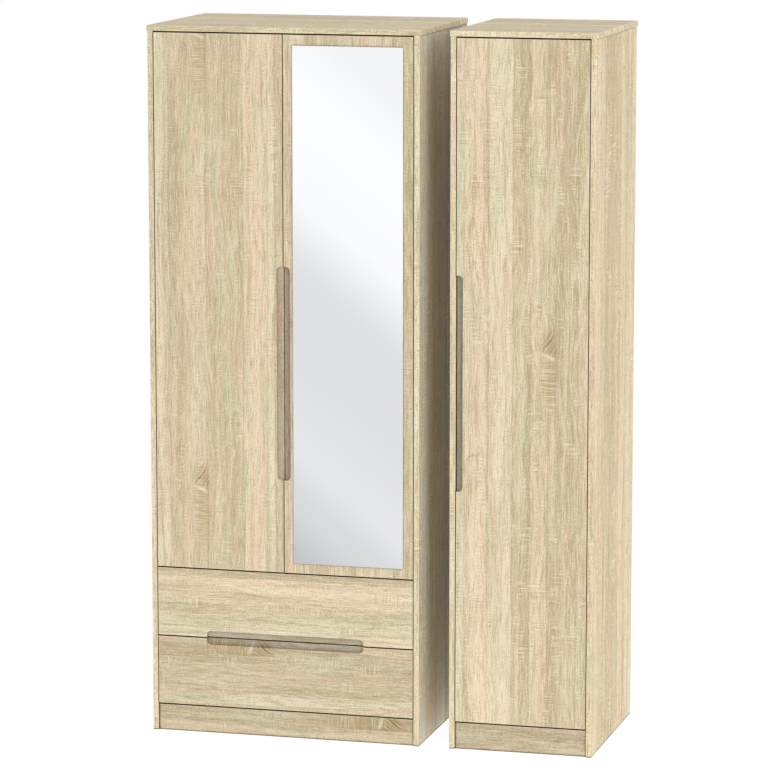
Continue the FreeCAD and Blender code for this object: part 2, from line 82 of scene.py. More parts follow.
# the card in front of the mirror: its bounds, its slope, and its brightness at each height
CARD_Y = -9.0
CARD_LEFT, CARD_RIGHT, CARD_FOOT, CARD_TOP = -9.0, 3.0, -4.0, 3.0
CARD_MIDDLE_X = -2.49
CARD_SLANT = 0.78
CARD_LOW, CARD_HIGH, CARD_STRENGTH = -1.6, 1.6, 1.15
CARD_LEVELS = ((-1.6, 0.52), (-1.25, 0.66), (-1.0, 0.75), (-0.5, 0.70), (-0.15, 0.70),
               (0.35, 0.90), (0.8, 0.92), (1.3, 0.84))


# ------------------------------------------------------------ camera and studio
def add_camera():
    data = bpy.data.cameras.new("camera")
    data.sensor_fit = "HORIZONTAL"
    data.angle = math.radians(CAMERA_VIEW_DEG)
    data.clip_end = CAMERA_REACH
    camera = bpy.data.objects.new("camera", data)
    camera.location = CAMERA_PLACE
    camera.rotation_euler = (math.radians(90 + CAMERA_TILT_DEG), 0, math.radians(CAMERA_TURN_DEG))
    SCENE.collection.objects.link(camera)
    SCENE.camera = camera


def add_area_light(name, place, target, size, watts):
    """A square lamp that lights the object but never shows as a reflection."""
    data = bpy.data.lights.new(name, "AREA")
    data.shape = "SQUARE"
    data.size = size
    data.energy = watts
    lamp = bpy.data.objects.new(name, data)
    lamp.location = place
    lamp.rotation_euler = (Vector(target) - Vector(place)).to_track_quat("-Z", "Y").to_euler()
    lamp.visible_glossy = False
    SCENE.collection.objects.link(lamp)


def add_sheet(name, corners, material):
    """A flat four-cornered stage piece."""
    mesh = bpy.data.meshes.new(name)
    mesh.from_pydata([Vector(c) for c in corners], [], [(0, 1, 2, 3)])
    mesh.materials.append(material)
    sheet = bpy.data.objects.new(name, mesh)
    SCENE.collection.objects.link(sheet)
    return sheet


def white_world(seen, light):
    """A white backdrop that lights the room less strongly than it looks."""
    world = bpy.data.worlds.new("studio")
    world.use_nodes = True
    nodes, links = world.node_tree.nodes, world.node_tree.links
    background = nodes["Background"]
    background.inputs["Color"].default_value = (1, 1, 1, 1)
    path = nodes.new("ShaderNodeLightPath")
    strength = nodes.new("ShaderNodeMapRange")
    strength.inputs["To Min"].default_value = light
    strength.inputs["To Max"].default_value = seen
    links.new(path.outputs["Is Camera Ray"], strength.inputs["Value"])
    links.new(strength.outputs["Result"], background.inputs["Strength"])
    SCENE.world = world


# --------------------------------------------------------------- node shorthand
class Graph:
    """Short calls that add and link shader nodes in one tree."""

    def __init__(self, tree):
        self.tree = tree

    def node(self, kind, inputs=(), **settings):
        made = self.tree.nodes.new(kind)
        for key, value in settings.items():
            setattr(made, key, value)
        for socket, value in dict(inputs).items():
            self.feed(made.inputs[socket], value)
        return made

    def feed(self, socket, value):
        if isinstance(value, bpy.types.NodeSocket):
            self.tree.links.new(value, socket)
        else:
            socket.default_value = value

    def math(self, operation, *values):
        made = self.node("ShaderNodeMath", enumerate(values), operation=operation)
        return made.outputs[0]

    def scaled(self, vector, scale):
        """The vector divided by a length along each axis."""
        divide = {0: vector, 1: scale}
        return self.node("ShaderNodeVectorMath", divide, operation="DIVIDE").outputs[0]

    def noise(self, vector, scale, detail=2.0, roughness=0.5, distortion=0.0):
        sockets = {"Vector": self.scaled(vector, scale), "Scale": 1.0, "Detail": detail,
                   "Roughness": roughness, "Distortion": distortion}
        return self.node("ShaderNodeTexNoise", sockets).outputs["Fac"]

    def step(self, value, low, high, to_low=0.0, to_high=1.0):
        """A smooth step of value from low to high."""
        sockets = {"Value": value, "From Min": low, "From Max": high,
                   "To Min": to_low, "To Max": to_high}
        made = self.node("ShaderNodeMapRange", sockets, interpolation_type="SMOOTHSTEP")
        return made.outputs["Result"]

    def mix(self, factor, first, second, blend="MIX"):
        made = self.node("ShaderNodeMix", data_type="RGBA", blend_type=blend)
        for index, value in ((0, factor), (6, first), (7, second)):
            self.feed(made.inputs[index], value)
        return made.outputs[2]

    def bell(self, value, middle, spread):
        """1 at the middle, falling smoothly to 0 over about two spreads."""
        away = self.math("DIVIDE", self.math("SUBTRACT", value, middle), spread)
        return self.math("EXPONENT", self.math("MULTIPLY", self.math("MULTIPLY", away, away), -1.0))

    def product(self, *values):
        result = values[0]
        for value in values[1:]:
            result = self.math("MULTIPLY", result, value)
        return result

    def blend(self, factor, first, second):
        """A number between the first and the second."""
        return self.math("ADD", first, self.product(factor, self.math("SUBTRACT", second, first)))

    def combine(self, x, y, z):
        return self.node("ShaderNodeCombineXYZ", {0: x, 1: y, 2: z}).outputs[0]

    def separate(self, vector):
        return self.node("ShaderNodeSeparateXYZ", {0: vector}).outputs


def rgb(red, green, blue):
    """A linear colour from 8-bit display values."""
    def linear(value):
        value = value / 255
        return value / 12.92 if value <= 0.04045 else ((value + 0.055) / 1.055) ** 2.4
    return (linear(red), linear(green), linear(blue), 1.0)


# ------------------------------------------------------------------ oak laminate
# The printed decor is made of strips, each with its own cast. Every visible board
# says where its strips end, as fractions from its left or from its top.
CREAM = rgb(240, 224, 192)
ROSE = rgb(242, 217, 184)
SAND = rgb(224, 204, 169)
SAGE = rgb(221, 213, 177)
TAN = rgb(210, 192, 155)
DARK_TAN = rgb(198, 180, 142)
# painted shade: the greyed sand and tan of the wide cabinet's right side, in the gap beside the narrow
# cabinet
PAINTED_SHADE_SAND = rgb(212, 209, 200)
PAINTED_SHADE_TAN = rgb(160, 164, 162)
STRIPS = {
    "left_door": ((0.11, CREAM), (0.40, SAND), (0.69, TAN), (0.88, ROSE), (0.94, CREAM), (1, TAN)),
    "mirror_door": ((0.15, SAND), (0.55, TAN), (0.85, SAND), (1, DARK_TAN)),
    "narrow_door": ((0.06, SAGE), (0.24, ROSE), (0.43, CREAM), (0.56, TAN), (0.70, SAND),
                    (0.92, DARK_TAN), (1, TAN)),
    # the wide right side's strips grow grey and dark towards the back: painted shade in the gap between
    # the cabinets
    "wide_right_side": ((0.015, SAND), (0.55, PAINTED_SHADE_SAND), (1, PAINTED_SHADE_TAN)),
    "narrow_right_side": ((0.02, SAND), (0.13, CREAM), (0.24, SAND), (0.50, DARK_TAN), (0.62, TAN),
                          (0.76, ROSE), (0.80, TAN), (1, CREAM)),
    "upper_drawer_front": ((0.10, DARK_TAN), (0.32, ROSE), (0.50, SAND), (0.65, TAN), (0.85, SAGE),
                           (1, CREAM)),
    "lower_drawer_front": ((0.10, SAND), (0.34, DARK_TAN), (0.55, TAN), (0.76, TAN), (0.95, CREAM),
                           (1, SAND)),
    "plinth": ((0.15, TAN), (0.50, DARK_TAN), (1, SAND)),
    "plain": ((0.15, SAND), (0.35, TAN), (0.50, CREAM), (0.70, SAND), (0.85, SAGE), (1, TAN)),
}
WOOD_PINK = rgb(230, 195, 171)
WOOD_GREEN = rgb(200, 204, 163)
WOOD_KNOT = rgb(138, 110, 66)
WOOD_TOASTED = rgb(194, 166, 120)
WOOD_LINE = rgb(170, 150, 112)
WOOD_PALE = rgb(244, 233, 203)
# painted shade: the brown that gaps, grooves and crevices are darkened by
GAP_SHADE = (0.17, 0.11, 0.03, 1.0)
# a dark glue line at the fronts' edges, also painted shade that darkens the gaps between them
GLUE_AND_GAP_SHADE = rgb(118, 86, 34)
REPEAT_MM = 1238.0         # the decor's repeat along the grain
DECOR_SPREAD_MM = (900, 5200, 300)   # how far apart two boards may lie in the decor
NO_KNOT = (9000.0, 0.0)    # so far off that no knot shows
KNOT_SIZE = 1.35
DRIFT_MM = 40.0
STRIP_SOFTNESS = 0.010     # of a board's width, on each side of a strip's joint
STRIP_WANDER = 12 * MM
JOINT_DARKNESS = 0.76
CREVICE_REACH = 6 * MM


def dark_and_pale(g, colour, value, dark, pale):
    """Darker where the value is high, paler where it is low: start, end and share of each."""
    for (start, end, share), tint in ((dark, WOOD_LINE), (pale, WOOD_PALE)):
        colour = g.mix(g.step(value, start, end, 0.0, share), colour, tint)
    return colour


def knot_pull(g, from_knot, past_knot):
    """How strongly a knot bends the rings: it lies against one side of a strip's edge."""
    near_across = g.math("DIVIDE", from_knot, 30.0)
    near_along = g.math("DIVIDE", past_knot, 34.0)
    reach = g.math("ADD", g.math("MULTIPLY", near_across, near_across),
                   g.math("MULTIPLY", near_along, near_along))
    pull = g.math("EXPONENT", g.math("MULTIPLY", reach, -1.0))
    return g.math("MULTIPLY", pull, g.step(from_knot, 5.0, -3.0))


def add_rings(g, colour, wood, across, knot):
    """Growth rings, the level lines of one long-drawn field that the knot lifts."""
    field = g.noise(wood, (105, 1150, 105), 2.0, 0.45)
    rings = g.math("ADD", g.math("MULTIPLY", field, 9.0), g.math("MULTIPLY", across, 0.012))
    rings = g.math("ADD", rings, g.math("MULTIPLY", knot, 5.5))
    level = g.combine(rings, 0.0, 0.0)
    band = g.noise(level, (0.55, 1, 1), 1.0)
    line = g.noise(level, (0.115, 1, 1), 1.0)
    colour = g.mix(g.step(band, 0.50, 0.72, 0.0, 0.42), colour, WOOD_PALE)
    colour = g.mix(g.step(band, 0.50, 0.30, 0.0, 0.30), colour, WOOD_LINE)
    figure = g.step(g.noise(wood, (75, 260, 75), 1.0), 0.40, 0.62)
    figure = g.math("MAXIMUM", figure, g.step(knot, 0.03, 0.3))
    boost = g.math("ADD", figure, g.step(knot, 0.05, 0.5))
    dark_line = g.math("MULTIPLY", g.step(line, 0.55, 0.68, 0.0, 0.58), boost)
    pale_line = g.math("MULTIPLY", g.step(line, 0.44, 0.32, 0.0, 0.40), boost)
    colour = g.mix(dark_line, colour, WOOD_LINE)
    return g.mix(pale_line, colour, WOOD_PALE)


def add_clouds(g, colour, wood):
    """Soft pink and green clouds, longer than they are wide."""
    for tint, shift, size, strength in ((WOOD_PINK, 31.0, (34, 330, 34), 0.64),
                                        (WOOD_GREEN, 67.0, (28, 300, 28), 0.56)):
        moved = g.node("ShaderNodeVectorMath", {0: wood, 1: (shift * 40, shift * 90, shift)},
                       operation="ADD").outputs[0]
        mask = g.step(g.noise(moved, size, 2.0), 0.50, 0.72, 0.0, strength)
        colour = g.mix(mask, colour, tint)
    return colour


def add_knot(g, colour, from_knot, past_knot):
    """Pale root, a fan of dark lines over it and toasted wood under it, with the toasted mask."""
    left_of = g.step(from_knot, 2.0, -1.0)
    bend = g.math("MULTIPLY", g.bell(past_knot, 0.0, 26.0), 26.0)
    fan = g.math("ADD", from_knot, bend)
    fan_line = g.noise(g.combine(fan, g.math("MULTIPLY", past_knot, 0.05), 0.0), (2.6, 2.6, 1), 1.0)
    over = g.product(g.bell(from_knot, -11.0, 17.0), g.bell(past_knot, 17.0, 24.0), left_of)
    under = g.product(g.bell(from_knot, -13.0, 17.0), g.bell(past_knot, -58.0, 62.0), left_of)
    colour = g.mix(g.product(over, 0.70), colour, WOOD_TOASTED)
    colour = g.mix(g.product(under, 0.75), colour, WOOD_TOASTED)
    colour = g.mix(g.product(over, g.step(fan_line, 0.48, 0.60, 0.0, 0.95)), colour, WOOD_KNOT)
    colour = g.mix(g.product(over, g.step(fan_line, 0.44, 0.34, 0.0, 0.75)), colour, WOOD_PALE)
    slope = g.math("ADD", past_knot, g.math("MULTIPLY", from_knot, 0.32))
    root = g.product(g.bell(slope, -9.0, 3.2), g.bell(from_knot, -15.0, 15.0), left_of)
    colour = g.mix(g.product(root, 0.85), colour, WOOD_PALE)
    edge = g.product(g.bell(from_knot, -1.5, 3.2), g.bell(past_knot, -25.0, 75.0), left_of)
    return g.mix(g.product(edge, 0.62), colour, WOOD_LINE), under


def add_saw_marks(g, colour, wood, under_knot):
    """Rough-sawn marks straight across the grain, in short ladders, with the pale marks' mask."""
    saw = g.noise(wood, (55, 2.4, 55), 1.0)
    ladder = g.step(g.noise(wood, (34, 110, 34), 1.5), 0.56, 0.64)
    ladder = g.math("MAXIMUM", ladder, g.step(under_knot, 0.15, 0.5))
    pale = g.math("MULTIPLY", g.step(saw, 0.53, 0.64, 0.0, 0.55), ladder)
    dark = g.math("MULTIPLY", g.step(saw, 0.46, 0.34, 0.0, 0.32), ladder)
    colour = g.mix(pale, colour, WOOD_PALE)
    return g.mix(dark, colour, WOOD_LINE), pale


def oak_group():
    """Printed rough-sawn oak. Place is across, along and through, in mm."""
    tree = bpy.data.node_groups.new("oak_laminate", "ShaderNodeTree")
    for name, kind in (("Place", "Vector"), ("Knot", "Vector"), ("Strip", "Color")):
        tree.interface.new_socket(name, in_out="INPUT", socket_type="NodeSocket" + kind)
    for name, kind in (("Color", "Color"), ("Roughness", "Float"), ("Height", "Float")):
        tree.interface.new_socket(name, in_out="OUTPUT", socket_type="NodeSocket" + kind)
    g = Graph(tree)
    given = g.node("NodeGroupInput").outputs
    across, along, through = g.separate(given["Place"])
    knot_place = g.separate(given["Knot"])
    from_knot, past_knot = (g.math("DIVIDE", v, KNOT_SIZE) for v in knot_place[:2])

    # slow sideways drift, so that no streak runs dead straight
    drift = g.math("SUBTRACT", g.noise(given["Place"], (120, 330, 120), 1.0), 0.5)
    across = g.math("ADD", across, g.math("MULTIPLY", drift, DRIFT_MM))
    wood = g.combine(across, along, through)

    knot = knot_pull(g, from_knot, past_knot)
    colour = add_rings(g, given["Strip"], wood, across, knot)
    colour = add_clouds(g, colour, wood)
    streak = g.noise(wood, (13, 560, 13), 2.0, 0.6)
    colour = dark_and_pale(g, colour, streak, (0.50, 0.72, 0.46), (0.50, 0.28, 0.46))
    fibre = g.noise(wood, (1.9, 42, 1.9), 2.0, 0.55)
    colour = dark_and_pale(g, colour, fibre, (0.50, 0.70, 0.62), (0.50, 0.30, 0.62))
    pores = g.noise(wood, (1.8, 4.6, 1.8), 1.0, 0.5)
    colour = dark_and_pale(g, colour, pores, (0.51, 0.72, 0.50), (0.49, 0.28, 0.46))
    colour, under_knot = add_knot(g, colour, from_knot, past_knot)
    colour, pale_marks = add_saw_marks(g, colour, wood, under_knot)

    rough = g.math("ADD", 0.46, g.math("MULTIPLY", fibre, 0.16))
    relief = g.math("SUBTRACT", g.math("MULTIPLY", pale_marks, 0.5), fibre)
    relief = g.math("SUBTRACT", relief, g.math("MULTIPLY", g.step(pores, 0.52, 0.74), 0.8))
    g.node("NodeGroupOutput", {"Color": colour, "Roughness": rough, "Height": relief})
    return tree


OAK = oak_group()
# across, along and through the grain; a minus sign turns the decor over
GRAIN_AXES = {
    "door": (("X", 1), ("Z", 1), ("Y", 1)),
    "side": (("Y", 1), ("Z", 1), ("X", 1)),
    "level": (("Y", -1), ("X", 1), ("Z", 1)),
    "front": (("Z", -1), ("X", 1), ("Y", 1)),
    "drawer_side": (("Z", -1), ("Y", 1), ("X", 1)),
}


def new_material(name):
    material = bpy.data.materials.new(name)
    material.use_nodes = True
    tree = material.node_tree
    return material, Graph(tree), tree.nodes["Principled BSDF"]


def tone_colour(tone):
    """A multiplier from one level, or from a level for each channel."""
    return (*tone, 1.0) if isinstance(tone, tuple) else (tone, tone, tone, 1.0)


def strip_ramp(g, fraction, strips):
    """Strip colours along a board's width, with a thin dark line at each joint."""
    stops = [(0.0, strips[0][1])]
    for (end, tint), (_, following) in zip(strips, strips[1:]):
        joint = [JOINT_DARKNESS * min(a, b) for a, b in zip(tint[:3], following[:3])] + [1.0]
        stops += [(end - STRIP_SOFTNESS, tint), (end, joint), (end + STRIP_SOFTNESS, following)]
    ramp = g.node("ShaderNodeValToRGB", {"Fac": fraction})
    elements = ramp.color_ramp.elements
    elements.remove(elements[1])
    elements[0].position, elements[0].color = stops[0]
    for position, tint in stops[1:]:
        elements.new(position).color = tint
    return ramp.outputs["Color"]


def box_mask(g, axes, box):
    """1 inside a finger groove or round the mirror, from the box of that thing."""
    end_rounding, lip, floor_depth = 13 * MM, 0.4 * MM, 3 * MM
    (x0, y0, z0), (x1, y1, z1) = box
    limits = ((axes["X"], x0 - end_rounding, x1 + end_rounding),
              (axes["Y"], y0 + lip, y1 + floor_depth),
              (axes["Z"], z0 - end_rounding, z1 + end_rounding))
    inside = 1.0
    for value, low, high in limits:
        inside = g.math("MULTIPLY", inside, g.math("GREATER_THAN", value, low))
        inside = g.math("MULTIPLY", inside, g.math("LESS_THAN", value, high))
    return inside


def arris_mask(g, axes, box):
    """1 along the sharp edges of a board, where two faces meet: the band of painted highlight, and the
    dark glue line that also paints shade in the gaps.
    """
    gaps = []
    for axis, low, high in zip("XYZ", *box):
        value = axes[axis]
        gap = g.math("MINIMUM", g.math("SUBTRACT", value, low), g.math("SUBTRACT", high, value))
        gaps.append(g.math("ABSOLUTE", gap))
    smaller = g.math("MINIMUM", gaps[0], gaps[1])
    larger = g.math("MAXIMUM", gaps[0], gaps[1])
    middle = g.math("MAXIMUM", smaller, g.math("MINIMUM", larger, gaps[2]))
    return g.step(middle, 1.8 * MM, 1.0 * MM), g.step(middle, 0.75 * MM, 0.45 * MM)


def knot_distance(g, grain, in_mm, knot):
    """How far a place is from the board's knot, across and along the grain, in mm."""
    if not knot:
        return NO_KNOT
    knot_place = dict(zip("XYZ", knot))
    across, along = (g.math("SUBTRACT", value, knot_place[axis] / MM * sign)
                     for value, (axis, sign) in zip(in_mm[:2], GRAIN_AXES[grain]))
    return across, g.math("WRAP", along, REPEAT_MM / 2, -REPEAT_MM / 2)


def board_strips(g, grain, axes, box, decor_place, strips):
    """The strip colour across a board's own width, with joints that wander a little."""
    low, high = box
    axis, sign = GRAIN_AXES[grain][0]
    index = "XYZ".index(axis)
    start, end = (low[index], high[index]) if sign > 0 else (high[index], low[index])
    fraction = g.math("DIVIDE", g.math("SUBTRACT", axes[axis], start), end - start)
    wander = g.noise(decor_place, (400, 260, 400), 2.0)
    wander = g.math("MULTIPLY", g.math("SUBTRACT", wander, 0.5), STRIP_WANDER / abs(end - start))
    return strip_ramp(g, g.math("ADD", fraction, wander), strips)


def shade_crevices(g, colour, axes, groove, beside):
    """Painted shade: the groove darkened by its tone, and a deeper brown painted wherever little light
    gets in.
    """
    crevice = g.node("ShaderNodeAmbientOcclusion", {"Distance": CREVICE_REACH}, samples=8)
    crevice = crevice.outputs["AO"]
    lit = g.step(crevice, 0.58, 0.97)
    if groove:
        groove_box, groove_shade_tone = groove
        # painted shade: the groove floor darkened by its tone
        painted_groove_shade = g.mix(1.0, colour, tone_colour(groove_shade_tone), "MULTIPLY")
        inside = box_mask(g, axes, groove_box)
        colour = g.mix(inside, colour, painted_groove_shade)
        lit = g.blend(inside, lit, g.step(crevice, 0.20, 0.62))
    if beside:
        near = box_mask(g, axes, beside)
        lit = g.blend(near, lit, g.step(crevice, 0.26, 0.70))
    # painted shade: the colour times GAP_SHADE where the crevice node finds the surface enclosed
    dim = g.mix(1.0, colour, GAP_SHADE, "MULTIPLY")
    return g.mix(lit, dim, colour)


def oak_material(node, grain, seed, strips, tone, gloss, groove=None, knot=None, figure=1.0,
                 lined=False, beside=None):
    """Oak laminate for one board, with its own stretch of the decor.

    A groove is its box and the tone of its painted shade. Beside is the box of a thing that stands on
    the board, round which the painted crevice shade is only soft.
    """
    material, g, shader = new_material("oak_" + node)
    place = g.node("ShaderNodeTexCoord").outputs["Object"]
    axes = dict(zip("XYZ", g.separate(place)))
    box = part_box(node)
    shift = random.Random(seed)
    in_mm = [g.math("MULTIPLY", axes[axis], sign / MM) for axis, sign in GRAIN_AXES[grain]]
    decor_place = g.combine(*(g.math("ADD", value, shift.uniform(-spread, spread))
                              for value, spread in zip(in_mm, DECOR_SPREAD_MM)))
    strip = board_strips(g, grain, axes, box, decor_place, STRIPS[strips])

    look = g.node("ShaderNodeGroup", node_tree=OAK)
    g.feed(look.inputs["Place"], decor_place)
    g.feed(look.inputs["Knot"], g.combine(*knot_distance(g, grain, in_mm, knot), 0.0))
    g.feed(look.inputs["Strip"], strip)
    # a figure above 1 strengthens the print beyond the plain strip colour
    contrast = g.node("ShaderNodeMix", data_type="RGBA", clamp_factor=False)
    for socket, value in ((0, figure), (6, strip), (7, look.outputs["Color"])):
        g.feed(contrast.inputs[socket], value)
    colour = g.mix(1.0, contrast.outputs[2], tone_colour(tone), "MULTIPLY")
    painted_edge_highlight, glue_and_shade_edge = arris_mask(g, axes, box)
    # painted highlight: a pale band along every sharp edge, as if the arris caught the light
    colour = g.mix(g.math("MULTIPLY", painted_edge_highlight, 0.5), colour, WOOD_PALE)
    # a dark glue line round each front, which also paints the shade in the gaps between fronts
    if lined:
        colour = g.mix(g.math("MULTIPLY", glue_and_shade_edge, 0.85), colour, GLUE_AND_GAP_SHADE)

    g.feed(shader.inputs["Base Color"], shade_crevices(g, colour, axes, groove, beside))
    g.feed(shader.inputs["Roughness"], look.outputs["Roughness"])
    bump = g.node("ShaderNodeBump", {"Height": look.outputs["Height"], "Strength": 0.25,
                                     "Distance": 0.4 * MM})
    g.feed(shader.inputs["Normal"], bump.outputs["Normal"])
    shader.inputs["Specular IOR Level"].default_value = gloss
    return material


# --------------------------------------------------------------- other materials
def speckled_material(name, base, spread, size_mm, roughness, metallic=0.0):
    """A plain moulded, painted or plated finish with fine variation."""
    material, g, shader = new_material(name)
    place = g.node("ShaderNodeTexCoord").outputs["Object"]
    size = size_mm * MM
    grain = g.noise(place, (size, size, size), 3.0, 0.6)
    dark = tuple(c * (1 - spread) for c in base[:3]) + (1.0,)
    light = tuple(min(c * (1 + spread), 1.0) for c in base[:3]) + (1.0,)
    g.feed(shader.inputs["Base Color"], g.mix(grain, dark, light))
    g.feed(shader.inputs["Roughness"], g.step(grain, 0.3, 0.7, roughness - 0.06, roughness + 0.06))
    lift = g.node("ShaderNodeBump", {"Height": grain, "Strength": 0.1, "Distance": 0.2 * MM})
    g.feed(shader.inputs["Normal"], lift.outputs["Normal"])
    shader.inputs["Metallic"].default_value = metallic
    return material


def fibreboard_material():
    """Thin pressed board: soft clouds, short loose fibres and a matt face."""
    material, g, shader = new_material("hardboard")
    place = g.node("ShaderNodeTexCoord").outputs["Object"]
    clouds = g.noise(place, (90 * MM, 90 * MM, 130 * MM), 3.0, 0.6)
    colour = g.mix(g.step(clouds, 0.3, 0.7), rgb(211, 195, 164), rgb(217, 202, 172))
    fibre = g.noise(place, (1.6 * MM, 1.6 * MM, 4.5 * MM), 2.0, 0.6)
    colour = g.mix(g.step(fibre, 0.54, 0.72, 0.0, 0.45), colour, rgb(168, 146, 108))
    colour = g.mix(g.step(fibre, 0.44, 0.28, 0.0, 0.40), colour, rgb(236, 225, 198))
    g.feed(shader.inputs["Base Color"], colour)
    g.feed(shader.inputs["Roughness"], g.step(fibre, 0.3, 0.7, 0.66, 0.8))
    lift = g.node("ShaderNodeBump", {"Height": fibre, "Strength": 0.2, "Distance": 0.3 * MM})
    g.feed(shader.inputs["Normal"], lift.outputs["Normal"])
    shader.inputs["Specular IOR Level"].default_value = 0.3
    return material


def mirror_material():
    """Silvered glass, its ground edge given painted light: dark on the faces turned left, palest on
    those turned right towards the key light.
    """
    material, g, shader = new_material("mirror_glass")
    coordinates = g.node("ShaderNodeTexCoord").outputs
    haze = g.noise(coordinates["Object"], (0.4, 0.4, 0.9), 2.0)
    silver = g.mix(haze, (0.90, 0.915, 0.93, 1), (0.94, 0.95, 0.96, 1))
    normal = g.separate(coordinates["Normal"])
    speckle = g.noise(coordinates["Object"], (2 * MM, 2 * MM, 2 * MM), 2.0)
    dark = g.mix(speckle, (0.11, 0.105, 0.09, 1), (0.14, 0.135, 0.12, 1))
    plain = g.mix(speckle, (0.32, 0.315, 0.29, 1), (0.38, 0.375, 0.35, 1))
    pale = g.mix(speckle, (0.84, 0.84, 0.80, 1), (0.90, 0.90, 0.87, 1))
    # painted light and shade on the ground edge, chosen by which way each face turns
    ground = g.mix(g.step(normal[0], -0.5, -0.2), dark, plain)
    ground = g.mix(g.step(normal[0], 0.2, 0.5), ground, pale)
    face = g.step(g.math("ABSOLUTE", normal[1]), 0.80, 0.95)
    g.feed(shader.inputs["Base Color"], g.mix(face, ground, silver))
    g.feed(shader.inputs["Metallic"], face)
    g.feed(shader.inputs["Roughness"], g.step(face, 0.0, 1.0, 0.36, 0.02))
    return material


def white_floor_material():
    """Studio white that shows only a trace of shadow."""
    material, g, shader = new_material("studio_floor")
    place = g.node("ShaderNodeTexCoord").outputs["Object"]
    grain = g.noise(place, (0.7, 0.7, 0.7), 2.0)
    shade = g.mix(grain, (0.13, 0.13, 0.13, 1), (0.15, 0.15, 0.15, 1))
    g.feed(shader.inputs["Base Color"], shade)
    shader.inputs["Roughness"].default_value = 1.0
    shader.inputs["Specular IOR Level"].default_value = 0.0
    shader.inputs["Emission Color"].default_value = (1, 1, 1, 1)
    shader.inputs["Emission Strength"].default_value = FLOOR_GLOW
    return material


def reflection_card_material():
    """A pale card for the mirror to reflect: slanted soft bands that fade into the studio."""
    material = bpy.data.materials.new("reflection_card")
    material.use_nodes = True
    g = Graph(material.node_tree)
    material.node_tree.nodes.remove(material.node_tree.nodes["Principled BSDF"])
    x, _, z = g.separate(g.node("ShaderNodeTexCoord").outputs["Object"])
    aside = g.math("SUBTRACT", x, CARD_MIDDLE_X)
    slant = g.math("ADD", z, g.math("MULTIPLY", aside, CARD_SLANT))
    ramp = g.node("ShaderNodeValToRGB", {"Fac": g.step(slant, CARD_LOW, CARD_HIGH)})
    ramp.inputs["Fac"].links[0].from_node.interpolation_type = "LINEAR"
    elements = ramp.color_ramp.elements
    elements.remove(elements[1])
    for count, (height, level) in enumerate(CARD_LEVELS):
        position = (height - CARD_LOW) / (CARD_HIGH - CARD_LOW)
        element = elements[0] if count == 0 else elements.new(position)
        element.position = position
        element.color = (level, level, level * 1.01, 1)
    ramp.color_ramp.interpolation = "EASE"
    faded = g.math("MAXIMUM", g.step(g.math("ABSOLUTE", aside), 0.5, 1.8),
                   g.step(g.math("ABSOLUTE", z), 1.5, 2.6))
    studio = [STUDIO_LEVEL / CARD_STRENGTH] * 3 + [1.0]
    colour = g.mix(faded, ramp.outputs["Color"], studio)
    glow = g.node("ShaderNodeEmission", {"Color": colour, "Strength": CARD_STRENGTH})
    g.feed(material.node_tree.nodes["Material Output"].inputs["Surface"], glow.outputs[0])
    return material


# ----------------------------------------------------------------- carcase nodes
def dress(node, material):
    """Give a CAD node one material in all its slots."""
    mesh = NODES[node].data
    mesh.materials.clear()
    mesh.materials.append(material)


